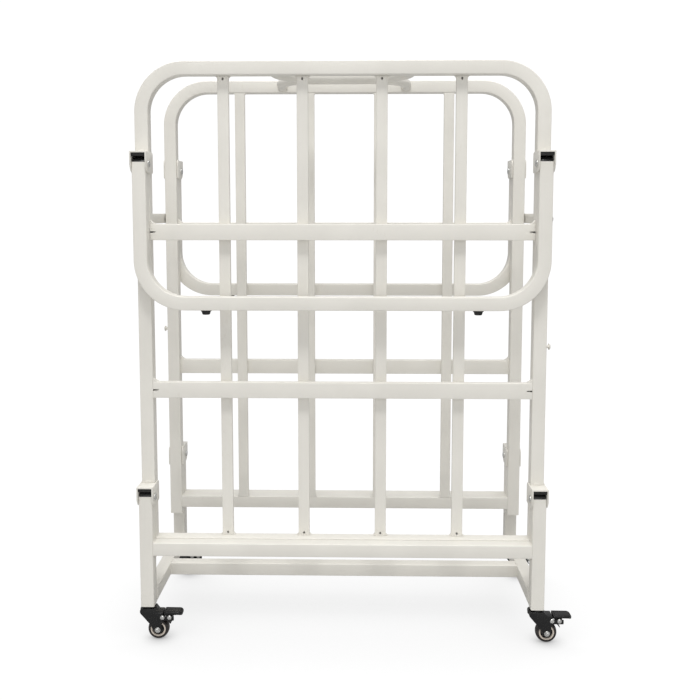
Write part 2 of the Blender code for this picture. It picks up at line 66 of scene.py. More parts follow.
# Every piece is built for the front half, with X measured from the middle of the cot's width.
CENTRE_X = middle_of("base_brace").x
MIDDLE = Vector((CENTRE_X, 0.0, 0.0))
TUBE = size_of("base_brace").z
HALF = TUBE / 2
SIDE_X = (size_of("base_brace").x - TUBE) / 2
INNER_X = SIDE_X - HALF
DECK_Y = PIVOT["right_latch_swing"].y
HINGE_Y = PIVOT["front_deck_fold"].y
FOLD_Z = PIVOT["front_deck_fold"].z
LEG_FOLD_Z = PIVOT["front_leg_fold"].z
LATCH_Z = PIVOT["right_latch_swing"].z
DECK_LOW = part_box("front_deck_frame")[0].z
DECK_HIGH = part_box("front_deck_frame")[1].z
SLAT_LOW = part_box("front_slat_1")[0].z
SLAT_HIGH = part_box("front_slat_1")[1].z
END_RAIL_Z = SLAT_LOW - HALF - 0.0003
BASE_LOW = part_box("base_brace")[0].z
FLOOR_GAP = 0.0003

# A caster is measured from its swivel axis at floor level.
SWIVEL = Vector((*PIVOT["front_left_caster_swivel"].xy, 0.0))
AXLE = PIVOT["front_left_wheel_spin"] - SWIVEL
PEDAL_PIN = PIVOT["front_left_brake_press"] - SWIVEL
FORK_TOP = 0.0612
FORK_FRONT = -0.0165
ARM_TOP = 0.0536
ARM_END = 0.0285
CHEEK_TOP = 0.0470
CHEEK_BOTTOM = 0.0385
FORK_BACK = 0.0495
FORK_SHEET = 0.0025              # wall of the moulded fork
TREAD_TOP = 0.0549
TREAD_BOTTOM = 0.0495
PEDAL_START = 0.0300

TUBE_WALL = 0.0015
TUBE_CORNER = 0.0016             # outside corner of 25 mm welded square tube
FLAT_CORNER = 0.0012             # outside corner of the thinner bars
FLAT_WALL = 0.0012
BEND = 0.080                     # bend radius on the tube's centre line
CORNER_STEPS = 4
BEND_STEPS = 20
ROUND_STEPS = 40
SLIT_LONG = 0.0098               # slit at a crossbar's end
SLIT_TALL = 0.0036
DRAIN_WIDE = 0.0038              # oval hole at a slat's end
DRAIN_TALL = 0.0052
DRAIN_INSET = 0.0052
BEAD = 0.0017                    # weld bead radius
RIPPLE = 0.0021                  # length of one ripple in a bead


# ---------------------------------------------------------------- mesh tools

def with_borders(faces):
    """Faces with their edges and corners, as the sweeping operators need them."""
    edges = {edge for face in faces for edge in face.edges}
    corners = {corner for face in faces for corner in face.verts}
    return list(faces) + list(edges) + list(corners)


def pull(bm, faces, vector):
    """Extrudes faces along a vector, and returns the faces at the far end."""
    out = bmesh.ops.extrude_face_region(bm, geom=with_borders(faces))["geom"]
    moved = [item for item in out if isinstance(item, bmesh.types.BMVert)]
    bmesh.ops.translate(bm, vec=Vector(vector), verts=moved)
    return [item for item in out if isinstance(item, bmesh.types.BMFace)]


def bend(bm, faces, centre, axis, angle=math.pi / 2, steps=BEND_STEPS):
    """Sweeps faces round a bend, and returns the faces at the far end."""
    out = bmesh.ops.spin(bm, geom=with_borders(faces), cent=centre, axis=axis, angle=angle, steps=steps)
    return [item for item in out["geom_last"] if isinstance(item, bmesh.types.BMFace)]


def round_corners(bm, corners, radius, steps=CORNER_STEPS):
    bmesh.ops.bevel(bm, geom=corners, offset=radius, offset_type="OFFSET", affect="VERTICES",
                    segments=steps, profile=0.5, material=-1, clamp_overlap=True)


def round_edges(bm, edges, radius, steps=2):
    bmesh.ops.bevel(bm, geom=edges, offset=radius, offset_type="OFFSET", affect="EDGES",
                    segments=steps, profile=0.5, material=-1, clamp_overlap=True)


def sharp_edges(bm, least=40.0):
    """The edges that turn by more than an angle, for an all-over small radius."""
    limit = math.radians(least)
    return [edge for edge in bm.edges if len(edge.link_faces) == 2 and edge.calc_face_angle() > limit]


def open_bore(bm, wall):
    """Turns the one face of a tube's end into a ring, with the bore left open."""
    bm.faces.ensure_lookup_table()
    bore = bm.faces[0]
    bm.normal_update()
    bmesh.ops.inset_region(bm, faces=[bore], thickness=wall, use_boundary=True, use_even_offset=True)
    bmesh.ops.delete(bm, geom=[bore], context="FACES_ONLY")
    return list(bm.faces)


def square_end(bm, wide, deep, corner, wall, place):
    """A rectangular tube's cut end, with rounded corners, facing along the place's own Z."""
    signs = ((-1, -1), (1, -1), (1, 1), (-1, 1))
    corners = [bm.verts.new((a * wide / 2, b * deep / 2, 0.0)) for a, b in signs]
    bm.faces.new(corners)
    round_corners(bm, corners, corner)
    faces = open_bore(bm, wall)
    bmesh.ops.transform(bm, matrix=place, verts=bm.verts)
    return faces


def round_end(bm, radius, wall, place):
    """A round tube's cut end, facing along the place's own Z."""
    bmesh.ops.create_circle(bm, cap_ends=True, radius=radius, segments=28)
    faces = open_bore(bm, wall)
    bmesh.ops.transform(bm, matrix=place, verts=bm.verts)
    return faces


def bar(start, end, wide, deep, corner=TUBE_CORNER, wall=TUBE_WALL):
    """A straight tube between two points; on a bar along X, wide is its height."""
    start = Vector(start)
    along = Vector(end) - start
    if abs(along.z) > abs(along.x) + abs(along.y):
        turn = Matrix.Identity(4)
    elif abs(along.x) > abs(along.y):
        turn = Matrix.Rotation(math.pi / 2, 4, "Y")
    else:
        turn = Matrix.Rotation(-math.pi / 2, 4, "X")
    bm = bmesh.new()
    faces = square_end(bm, wide, deep, corner, wall, Matrix.Translation(start) @ turn)
    pull(bm, faces, along)
    return bm


def bent_u(end, far, y):
    """A U of the square tube: its open ends at Z = end, the outside of its far side at Z = far."""
    way = 1 if far > end else -1
    bend_z = far - way * (HALF + BEND)
    bm = bmesh.new()
    faces = square_end(bm, TUBE, TUBE, TUBE_CORNER, TUBE_WALL, Matrix.Translation((-SIDE_X, y, end)))
    faces = pull(bm, faces, (0.0, 0.0, bend_z - end))
    faces = bend(bm, faces, (-SIDE_X + BEND, y, bend_z), (0, way, 0))
    faces = pull(bm, faces, (2 * (SIDE_X - BEND), 0.0, 0.0))
    faces = bend(bm, faces, (SIDE_X - BEND, y, bend_z), (0, way, 0))
    pull(bm, faces, (0.0, 0.0, end - bend_z))
    return bm


def turned(profile, centre=(0.0, 0.0, 0.0), axis="X", steps=ROUND_STEPS):
    """A profile of (radius, height) points turned about an axis through centre."""
    bm = bmesh.new()
    points = [bm.verts.new((radius, 0.0, height)) for radius, height in profile]
    edges = [bm.edges.new(pair) for pair in zip(points, points[1:])]
    bmesh.ops.spin(bm, geom=points + edges, cent=(0, 0, 0), axis=(0, 0, 1), angle=math.tau,
                   steps=steps, use_merge=True)
    turn = {"X": Matrix.Rotation(math.pi / 2, 4, "Y"),
            "Y": Matrix.Rotation(-math.pi / 2, 4, "X"),
            "Z": Matrix.Identity(4)}[axis]
    bmesh.ops.transform(bm, matrix=Matrix.Translation(centre) @ turn, verts=bm.verts)
    close_up(bm)
    return bm


def arc(centre, radius, start, end, steps=8):
    """Points on an arc, in degrees, from start to end."""
    angles = [math.radians(start + (end - start) * step / steps) for step in range(steps + 1)]
    return [(centre[0] + radius * math.cos(a), centre[1] + radius * math.sin(a)) for a in angles]


def plate(outline, low, high, plane="YZ"):
    """An outline pulled between two offsets from its plane."""
    bm = bmesh.new()
    if plane == "YZ":
        corners = [bm.verts.new((low, a, b)) for a, b in outline]
        vector = (high - low, 0.0, 0.0)
    else:
        corners = [bm.verts.new((a, low, b)) for a, b in outline]
        vector = (0.0, high - low, 0.0)
    pull(bm, [bm.faces.new(corners)], vector)
    close_up(bm)
    return bm


def close_up(bm):
    bmesh.ops.remove_doubles(bm, verts=bm.verts, dist=0.000001)
    bmesh.ops.recalc_face_normals(bm, faces=bm.faces)


def add_in(bm, other):
    """Moves another bmesh's geometry into this one."""
    mesh = bpy.data.meshes.new("part")
    other.to_mesh(mesh)
    other.free()
    bm.from_mesh(mesh)
    bpy.data.meshes.remove(mesh)
    return bm


def shifted(bm, vector):
    bmesh.ops.translate(bm, vec=Vector(vector), verts=bm.verts)
    return bm


def cut(bm, *cutters):
    """Cuts closed shapes out of a closed shape with an exact Boolean."""
    bodies = []
    for shape in (bm, *cutters):
        close_up(shape)
        mesh = bpy.data.meshes.new("cutting")
        shape.to_mesh(mesh)
        shape.free()
        bodies.append(bpy.data.objects.new("cutting", mesh))
        bpy.context.scene.collection.objects.link(bodies[-1])
    for tool in bodies[1:]:
        step = bodies[0].modifiers.new("cut", "BOOLEAN")
        step.operation = "DIFFERENCE"
        step.solver = "EXACT"
        step.object = tool
    graph = bpy.context.evaluated_depsgraph_get()
    result = bmesh.new()
    result.from_mesh(bodies[0].evaluated_get(graph).to_mesh())
    for body in bodies:
        mesh = body.data
        bpy.data.objects.remove(body, do_unlink=True)
        bpy.data.meshes.remove(mesh)
    return result


def bead(bm, start, end, radius=BEAD):
    """A weld bead between two points: a round run with a ripple for each dab of the torch."""
    start = Vector(start)
    run = Vector(end) - start
    rings = max(6, int(run.length / RIPPLE * 4))
    made = bmesh.ops.create_circle(bm, cap_ends=True, radius=radius, segments=8)["verts"]
    turn = Vector((0, 0, 1)).rotation_difference(run).to_matrix().to_4x4()
    bmesh.ops.transform(bm, matrix=Matrix.Translation(start) @ turn, verts=made)
    faces = list({face for corner in made for face in corner.link_faces})
    bmesh.ops.scale(bm, vec=(0.3, 0.3, 0.3), space=Matrix.Translation(-start), verts=made)
    was = 0.3
    for ring in range(1, rings + 1):
        share = ring / rings
        faces = pull(bm, faces, run / rings)
        ripple = 0.86 + 0.14 * abs(math.sin(math.pi * share * run.length / RIPPLE))
        now = ripple * min(1.0, 0.3 + 3.5 * min(share, 1.0 - share))
        corners = {corner for face in faces for corner in face.verts}
        factor = now / was
        bmesh.ops.scale(bm, vec=(factor, factor, factor), verts=list(corners),
                        space=Matrix.Translation(-(start + run * share)))
        was = now
    return bm


# ---------------------------------------------------------------- finishes

def linear(hex_colour):
    """An sRGB hex colour as linear RGBA."""
    channels = [int(hex_colour[place:place + 2], 16) / 255 for place in (0, 2, 4)]
    straight = [c / 12.92 if c <= 0.04045 else ((c + 0.055) / 1.055) ** 2.4 for c in channels]
    return (*straight, 1.0)


def add_node(tree, kind, sockets=None, **settings):
    """Adds a node with its settings; a socket is given a value or another node's output."""
    node = tree.nodes.new(kind)
    for key, value in settings.items():
        setattr(node, key, value)
    for name, value in (sockets or {}).items():
        if isinstance(value, bpy.types.NodeSocket):
            tree.links.new(value, node.inputs[name])
        else:
            node.inputs[name].default_value = value
    return node


def new_finish(name, roughness, metallic=0.0, **sockets):
    """A Principled material with its uniform numbers set, its node tree and its object coordinates."""
    finish = bpy.data.materials.new(name)
    finish.use_nodes = True
    tree = finish.node_tree
    shader = tree.nodes["Principled BSDF"]
    shader.inputs["Roughness"].default_value = roughness
    shader.inputs["Metallic"].default_value = metallic
    for socket, value in sockets.items():
        shader.inputs[socket.replace("_", " ")].default_value = value
    place = add_node(tree, "ShaderNodeTexCoord").outputs["Object"]
    return finish, tree, shader, place


def per_metre(millimetres):
    """A texture scale for features of a real size."""
    return 1000.0 / millimetres


def noise_of(tree, place, millimetres, detail=3.0, roughness=0.5):
    sockets = {"Vector": place, "Scale": per_metre(millimetres), "Detail": detail, "Roughness": roughness}
    return add_node(tree, "ShaderNodeTexNoise", sockets).outputs["Fac"]


def span_of(tree, value, low, high, out_low, out_high):
    sockets = {"Value": value, "From Min": low, "From Max": high, "To Min": out_low, "To Max": out_high}
    return add_node(tree, "ShaderNodeMapRange", sockets, clamp=True).outputs["Result"]


def blend_of(tree, factor, first, second):
    """Mixes two colours; either may be a hex colour or another node's output."""
    mix = add_node(tree, "ShaderNodeMix", data_type="RGBA")
    colours = ((mix.inputs[6], first), (mix.inputs[7], second))
    tree.links.new(factor, mix.inputs[0])
    for socket, colour in colours:
        if isinstance(colour, str):
            socket.default_value = linear(colour)
        else:
            tree.links.new(colour, socket)
    return mix.outputs[2]


def bump_of(tree, shader, height, strength, millimetres):
    sockets = {"Height": height, "Strength": strength, "Distance": millimetres / 1000.0}
    bump = add_node(tree, "ShaderNodeBump", sockets)
    tree.links.new(bump.outputs["Normal"], shader.inputs["Normal"])


def powder_coat(name, peel=0.10):
    """White polyester powder coat on steel: warm white, half gloss, a fine orange peel and a few scuffs."""
    finish, tree, shader, place = new_finish(name, 0.38)
    cloud = noise_of(tree, place, 90.0, 4.0)
    paint = blend_of(tree, span_of(tree, cloud, 0.35, 0.65, 0.0, 1.0), "E6E3DB", "E1DED6")
    stretched = add_node(tree, "ShaderNodeMapping", {"Vector": place, "Scale": (1.0, 1.0, 0.35)}).outputs["Vector"]
    patch = span_of(tree, noise_of(tree, place, 160.0, 2.0), 0.60, 0.72, 0.0, 1.0)
    streak = span_of(tree, noise_of(tree, stretched, 5.0, 6.0, 0.65), 0.55, 0.75, 0.0, 0.30)
    scuff = add_node(tree, "ShaderNodeMath", {0: patch, 1: streak}, operation="MULTIPLY").outputs["Value"]
    scuffed = blend_of(tree, scuff, paint, "B4A594")
    sockets = {"Vector": place, "Scale": per_metre(14.0), "Randomness": 1.0}
    cell = add_node(tree, "ShaderNodeTexVoronoi", sockets)
    dot = span_of(tree, cell.outputs["Distance"], 0.018, 0.034, 1.0, 0.0)
    apart = add_node(tree, "ShaderNodeSeparateColor", {"Color": cell.outputs["Color"]}).outputs["Red"]
    few = span_of(tree, apart, 0.955, 0.965, 0.0, 0.55)
    speck = add_node(tree, "ShaderNodeMath", {0: dot, 1: few}, operation="MULTIPLY").outputs["Value"]
    tree.links.new(blend_of(tree, speck, scuffed, "6E655C"), shader.inputs["Base Color"])
    tree.links.new(span_of(tree, cloud, 0.3, 0.7, 0.34, 0.44), shader.inputs["Roughness"])
    bump_of(tree, shader, noise_of(tree, place, 1.6, 2.0), peel, 0.35)
    return finish


def zinc_plate():
    """Zinc-plated steel rivet and bolt heads: cool bright metal with a fine tumbled grain."""
    finish, tree, shader, place = new_finish("zinc_plated_steel", 0.28, 1.0)
    cloud = noise_of(tree, place, 2.5, 4.0)
    tree.links.new(blend_of(tree, cloud, "B9B9B6", "DADAD8"), shader.inputs["Base Color"])
    tree.links.new(span_of(tree, cloud, 0.3, 0.7, 0.20, 0.38), shader.inputs["Roughness"])
    bump_of(tree, shader, noise_of(tree, place, 0.5, 2.0), 0.12, 0.1)
    return finish


def black_nylon():
    """Moulded black nylon of the caster forks and pedals: a fine spark-eroded grain, half matt."""
    finish, tree, shader, place = new_finish("moulded_black_nylon", 0.34, Specular_IOR_Level=0.35)
    cloud = noise_of(tree, place, 12.0, 3.0)
    tree.links.new(blend_of(tree, cloud, "0C0C0D", "151516"), shader.inputs["Base Color"])
    tree.links.new(span_of(tree, cloud, 0.3, 0.7, 0.24, 0.36), shader.inputs["Roughness"])
    bump_of(tree, shader, noise_of(tree, place, 0.45, 2.0), 0.20, 0.10)
    return finish


def black_plug():
    """Smooth black polyethylene of the tube end plugs: a soft gloss with faint mould flow."""
    finish, tree, shader, place = new_finish("black_polyethylene_plug", 0.26)
    cloud = noise_of(tree, place, 7.0, 3.0)
    tree.links.new(blend_of(tree, cloud, "1B1B1C", "262627"), shader.inputs["Base Color"])
    tree.links.new(span_of(tree, cloud, 0.3, 0.7, 0.20, 0.34), shader.inputs["Roughness"])
    bump_of(tree, shader, noise_of(tree, place, 3.0, 2.0), 0.10, 0.15)
    return finish


def black_rubber():
    """Moulded black rubber of the feet and stops: dull, with a dusty bloom."""
    finish, tree, shader, place = new_finish("moulded_black_rubber", 0.75)
    bloom = noise_of(tree, place, 6.0, 5.0)
    tree.links.new(blend_of(tree, span_of(tree, bloom, 0.45, 0.75, 0.0, 1.0), "171717", "2A2928"),
                   shader.inputs["Base Color"])
    bump_of(tree, shader, noise_of(tree, place, 0.8, 3.0), 0.3, 0.15)
    return finish


def tyre_rubber():
    """Cast polyurethane tyre: brown-black, a soft gloss, dulled where it rolls."""
    finish, tree, shader, place = new_finish("cast_polyurethane_tyre", 0.40)
    wear = noise_of(tree, place, 5.0, 5.0, 0.6)
    tree.links.new(blend_of(tree, wear, "171312", "2B2522"), shader.inputs["Base Color"])
    tree.links.new(span_of(tree, wear, 0.3, 0.7, 0.32, 0.55), shader.inputs["Roughness"])
    bump_of(tree, shader, noise_of(tree, place, 0.9, 3.0), 0.2, 0.15)
    return finish


def beige_hub():
    """Moulded beige nylon of the wheel centre: warm, half matt, slightly mottled."""
    finish, tree, shader, place = new_finish("moulded_beige_nylon", 0.45)
    cloud = noise_of(tree, place, 4.0, 4.0)
    tree.links.new(blend_of(tree, cloud, "C9BEB0", "DCD2C6"), shader.inputs["Base Color"])
    bump_of(tree, shader, noise_of(tree, place, 0.6, 2.0), 0.15, 0.1)
    return finish


PAINT = powder_coat("white_powder_coat")
PAINTED_WELD = powder_coat("powder_coated_weld", peel=0.25)
ZINC = zinc_plate()
NYLON = black_nylon()
PLUG = black_plug()
RUBBER = black_rubber()
TYRE = tyre_rubber()
HUB = beige_hub()


# ---------------------------------------------------------------- making pieces

def piece(name, bm, finish, body, replaces=(), half="front", smooth=32.0):
    """Finishes a bmesh as a piece: closed, facing out, in place and riding on its body."""
    close_up(bm)
    turn = Matrix.Rotation(math.pi, 4, "Z") if half == "rear" else Matrix.Identity(4)
    bmesh.ops.transform(bm, matrix=Matrix.Translation(MIDDLE) @ turn, verts=bm.verts)
    mesh = bpy.data.meshes.new(name)
    bm.to_mesh(mesh)
    bm.free()
    mesh.materials.append(finish)
    mesh.shade_smooth()
    mesh.set_sharp_from_angle(angle=math.radians(smooth))
    made = bpy.data.objects.new(name, mesh)
    bpy.context.scene.collection.objects.link(made)
    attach(made, body)
    if replaces:
        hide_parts(*replaces)
    return made


def side_name(half, side):
    """Left or right as seen from the front; the rear half is turned round, so its sides swap."""
    seen = side if half == "front" else -side
    return "right" if seen > 0 else "left"


# ---------------------------------------------------------------- decks

def slit_cutter(side, y, z):
    """The narrow slit at a crossbar's end, widest beside the tube."""
    near = side * (INNER_X + 0.001)
    far = side * (INNER_X - SLIT_LONG)
    tip = [(far - side * 0.0009 * math.sin(a), z + 0.0005 + 0.0009 * math.cos(a)) for a in
           (math.pi * step / 4 for step in range(5))]
    outline = [(near, z - SLIT_TALL / 2), (near, z + SLIT_TALL / 2), *tip]
    return plate(outline, y - 2 * FLAT_WALL, y + 2 * FLAT_WALL, "XZ")


def drain_cutter(x, y, z):
    """The oval drain hole at a slat's end."""
    outline = [(x + DRAIN_WIDE / 2 * math.cos(a), z + DRAIN_TALL / 2 * math.sin(a))
               for a in (math.tau * step / 20 for step in range(20))]
    return plate(outline, y - 1.5 * FLAT_WALL, y + 1.5 * FLAT_WALL, "XZ")


def fillet(bm, corner, reach, y_low, y_high):
    """A ground weld in the corner between two bars: slightly hollow, with a leg along each of them."""
    x, z = corner
    across, up = reach
    outline = [(x, z), (x + across, z), (x + 0.42 * across, z + 0.42 * up), (x, z + up)]
    add_in(bm, plate(outline, y_low, y_high, "XZ"))


def make_deck_frame(half):
    body = f"{half}_deck"
    loop = bent_u(DECK_LOW, DECK_HIGH, DECK_Y)
    rivet_bore = turned([(0.0, SIDE_X), (0.0033, SIDE_X), (0.0033, SIDE_X + TUBE), (0.0, SIDE_X + TUBE)],
                        (0.0, DECK_Y, LATCH_Z), steps=20)
    loop = cut(loop, rivet_bore)
    piece(f"{half}_deck_loop", loop, PAINT, body, [f"{half}_deck_frame"], half)
    rail = bar((-INNER_X, DECK_Y, END_RAIL_Z), (INNER_X, DECK_Y, END_RAIL_Z), TUBE, TUBE)
    piece(f"{half}_deck_end_rail", rail, PAINT, body, (), half)


def make_crossbar(half, level):
    node = f"{half}_{level}_crossbar"
    size = size_of(f"front_{level}_crossbar")
    middle = middle_of(f"front_{level}_crossbar")
    across = INNER_X - 0.0001
    rail = bar((-across, middle.y, middle.z), (across, middle.y, middle.z), size.z, size.y, FLAT_CORNER, FLAT_WALL)
    front = middle.y - size.y / 2
    slits = [slit_cutter(side, front, middle.z) for side in (-1, 1)]
    piece(node, cut(rail, *slits), PAINT, f"{half}_deck", [node], half)


def make_slat(half, number):
    seen = number if half == "front" else 5 - number
    middle = middle_of(f"front_slat_{number}") - MIDDLE
    size = size_of(f"front_slat_{number}")
    rail = bar((middle.x, middle.y, SLAT_LOW), (middle.x, middle.y, SLAT_HIGH), size.x, size.y, FLAT_CORNER, FLAT_WALL)
    front = middle.y - size.y / 2
    drains = [drain_cutter(middle.x, front, height) for height in (SLAT_LOW + DRAIN_INSET, SLAT_HIGH - DRAIN_INSET)]
    piece(f"{half}_slat_{seen}", cut(rail, *drains), PAINT, f"{half}_deck", [f"{half}_slat_{seen}"], half)


def make_deck_welds(half):
    """Beads where bars meet tubes: above and below each rail's end, and beside each slat."""
    bm = bmesh.new()
    for level in ("lower", "upper"):
        middle = middle_of(f"front_{level}_crossbar")
        size = size_of(f"front_{level}_crossbar")
        for side in (-1, 1):
            x = side * INNER_X
            bottom = middle.z - size.z / 2
            bead(bm, (x, middle.y - size.y / 2 + 0.0015, bottom), (x, middle.y + size.y / 2 - 0.001, bottom))
            fillet(bm, (x, middle.z + size.z / 2), (-side * 0.0092, 0.0072),
                   middle.y - size.y / 2 + 0.0008, middle.y + size.y / 2 - 0.0008)
            back = middle.y + size.y / 2
            bead(bm, (x, back, middle.z - size.z / 2 + 0.002), (x, back, middle.z + size.z / 2 - 0.002))
        for number in range(1, 5):
            slat = middle_of(f"front_slat_{number}") - MIDDLE
            for side in (-1, 1):
                x = slat.x + side * size_of("front_slat_1").x / 2
                bead(bm, (x, middle.y + size.y / 2, middle.z - 0.007), (x, middle.y + size.y / 2, middle.z + 0.007))
    for side in (-1, 1):
        for edge in (-1, 1):
            z = END_RAIL_Z + edge * HALF
            bead(bm, (side * INNER_X, DECK_Y - HALF + 0.002, z), (side * INNER_X, DECK_Y + HALF - 0.002, z))
    for number in range(1, 5):
        slat = middle_of(f"front_slat_{number}") - MIDDLE
        deep = size_of("front_slat_1").y / 2
        for side in (-1, 1):
            x = slat.x + side * size_of("front_slat_1").x / 2
            for z, up in ((SLAT_LOW, 0.0036), (SLAT_HIGH, -0.0036)):
                fillet(bm, (x, z), (side * 0.0036, up), slat.y - deep + 0.0008, slat.y + deep - 0.0008)
    piece(f"{half}_deck_welds", bm, PAINTED_WELD, f"{half}_deck", (), half, smooth=60.0)


def make_handle(half):
    """A bow of round tube, with a bead round each end where it meets the deck."""
    low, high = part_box("front_handle")
    radius = (high.z - low.z) / 2
    reach = high.y - radius
    end_x = (high.x - low.x) / 2 - radius
    z = (low.z + high.z) / 2
    curve = 0.070
    bm = bmesh.new()
    start = Matrix.Translation((-end_x, low.y, z)) @ Matrix.Rotation(-math.pi / 2, 4, "X")
    faces = round_end(bm, radius, TUBE_WALL, start)
    faces = pull(bm, faces, (0.0, reach - curve - low.y, 0.0))
    faces = bend(bm, faces, (-end_x + curve, reach - curve, z), (0, 0, -1))
    faces = pull(bm, faces, (2 * (end_x - curve), 0.0, 0.0))
    faces = bend(bm, faces, (end_x - curve, reach - curve, z), (0, 0, -1))
    pull(bm, faces, (0.0, low.y - reach + curve, 0.0))
    piece(f"{half}_handle", bm, PAINT, f"{half}_deck", [f"{half}_handle"], half)
    welds = bmesh.new()
    for side in (-1, 1):
        ring = [(radius + 0.0012 * math.cos(a), 0.0012 * math.sin(a)) for a in
                (math.tau * step / 8 for step in range(9))]
        add_in(welds, turned(ring, (side * end_x, low.y + 0.0008, z), "Y"))
    piece(f"{half}_handle_welds", welds, PAINTED_WELD, f"{half}_deck", (), half, smooth=60.0)


# ---------------------------------------------------------------- hinges

def bracket_sizes():
    """The pressed bracket's box, measured from its hinge axis."""
    low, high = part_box("front_left_lower_hinge_bracket")
    axis = Vector((CENTRE_X - SIDE_X, HINGE_Y, FOLD_Z))
    return low - axis, high - axis


def make_bracket(half, side, level, z):
    name = f"{half}_{side_name(half, side)}_{level}_hinge_bracket"
    low, high = bracket_sizes()
    outer = high.x
    sheet = 0.0025
    cheek = outer - sheet
    under = high.z - sheet
    outline = [(low.y, high.z), (low.y, -0.002), *arc((-0.006, -0.008), 0.006, 205, 262, 3)]
    outline += [(-0.002, low.z), (high.y - 0.003, low.z), *arc((high.y - 0.003, low.z + 0.003), 0.003, 270, 360, 4)]
    outline += [*arc((high.y - 0.006, high.z - 0.006), 0.006, 0, 90, 5)]
    body = plate(outline, -outer, outer)
    along = [edge for edge in body.edges
             if all(abs(abs(v.co.x) - outer) < 0.0001 and abs(v.co.z - high.z) < 0.0001 for v in edge.verts)
             and abs(edge.verts[0].co.x - edge.verts[1].co.x) < 0.0001]
    round_edges(body, along, 0.0022, 4)
    tube_face = DECK_Y - HALF - HINGE_Y - 0.0003
    leg_slot = plate([(-TUBE, -TUBE), (TUBE * 2, -TUBE), (TUBE * 2, under), (-TUBE, under)], -cheek, cheek)
    tube_slot = plate([(tube_face, 0.0), (TUBE * 2, 0.0), (TUBE * 2, TUBE * 2), (tube_face, TUBE * 2)], -cheek, cheek)
    body = cut(body, leg_slot)
    body = cut(body, tube_slot)
    round_edges(body, sharp_edges(body, 60.0), 0.0004, 2)
    place = Vector((side * SIDE_X, HINGE_Y, z))
    piece(name, shifted(body, place), PAINT, f"{half}_deck", [name], half)
    tab_outline = [(-0.0075, 0.0), *arc((0.0, -0.004), 0.0090, 140, 40, 8), (0.0075, 0.0)]
    tab = plate([(x, high.z + h) for x, h in tab_outline], tube_face - 0.0015, tube_face + 0.0003, "XZ")
    round_edges(tab, sharp_edges(tab, 60.0), 0.0005, 2)
    for edge in (-1, 1):
        x = edge * (outer - 0.0003)
        bead(tab, (x - edge * 0.001, high.y - 0.0002, low.z + 0.004), (x - edge * 0.001, high.y - 0.0002, high.z - 0.007), 0.0011)
    piece(f"{name}_welds", shifted(tab, place), PAINTED_WELD, f"{half}_deck", (), half, smooth=60.0)
    stop = plate([(low.y + 0.0012, 0.0136), (tube_face - 0.0002, 0.0136), (tube_face - 0.0002, under), (low.y + 0.0012, under)],
                 -cheek + 0.0002, cheek - 0.0002)
    round_edges(stop, sharp_edges(stop, 60.0), 0.0009, 3)
    piece(f"{half}_{side_name(half, side)}_{level}_hinge_stop", shifted(stop, place), RUBBER, f"{half}_deck", (), half)


def make_rivet(half, side, level, z):
    """A hinge rivet: a domed head on the side facing the middle, a flatter one outside."""
    name = f"{half}_{side_name(half, side)}_{level}_hinge_pin"
    low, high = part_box("front_left_lower_hinge_pin")
    radius = (high.z - low.z) / 2 + 0.0014
    face = bracket_sizes()[1].x + 0.0003
    dome = high.x - (CENTRE_X - SIDE_X) - face
    flat = CENTRE_X - SIDE_X - low.x - face
    head = [(radius * math.cos(a), face + 0.0008 + (dome - 0.0008) * math.sin(a)) for a in
            (math.radians(90 * step / 8) for step in range(9))]
    profile = [(0.0, -face - flat), (radius * 0.8, -face - flat), (radius, -face - flat * 0.55), (radius, -face),
               (0.004, -face), (0.004, face), (radius, face), *head]
    profile[-1] = (0.0, face + dome)
    bm = turned(profile)
    if side > 0:
        bmesh.ops.rotate(bm, cent=(0, 0, 0), matrix=Matrix.Rotation(math.pi, 3, "Z"), verts=bm.verts)
    piece(name, shifted(bm, (side * SIDE_X, HINGE_Y, z)), ZINC, f"{half}_deck", [name], half)


def plug_bm(side, z):
    """A leg's end plug: a rounded nose over the hinge, flush with the leg, on a hinge bore."""
    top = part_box("front_left_leg")[1].z - FOLD_Z
    nose = 0.0127
    start = math.degrees(math.asin(top / nose))
    outline = [*arc((0.0, 0.0), nose, start, 180 - start, 16)]
    outline += [(-HALF + 0.0017, top), (-HALF + 0.0017, -0.008), (HALF - 0.0017, -0.008), (HALF - 0.0017, top)]
    bm = plate(outline, -HALF + 0.0017, HALF - 0.0017)
    round_edges(bm, sharp_edges(bm, 60.0), 0.0006, 2)
    bore = turned([(0.0, -TUBE), (0.0043, -TUBE), (0.0043, TUBE), (0.0, TUBE)], steps=24)
    return shifted(cut(bm, bore), (side * SIDE_X, HINGE_Y, z))


def hinge_bore(side, z):
    bore = turned([(0.0, -TUBE), (0.0043, -TUBE), (0.0043, TUBE), (0.0, TUBE)], steps=24)
    return shifted(bore, (side * SIDE_X, HINGE_Y, z))


# ---------------------------------------------------------------- folding legs and latches

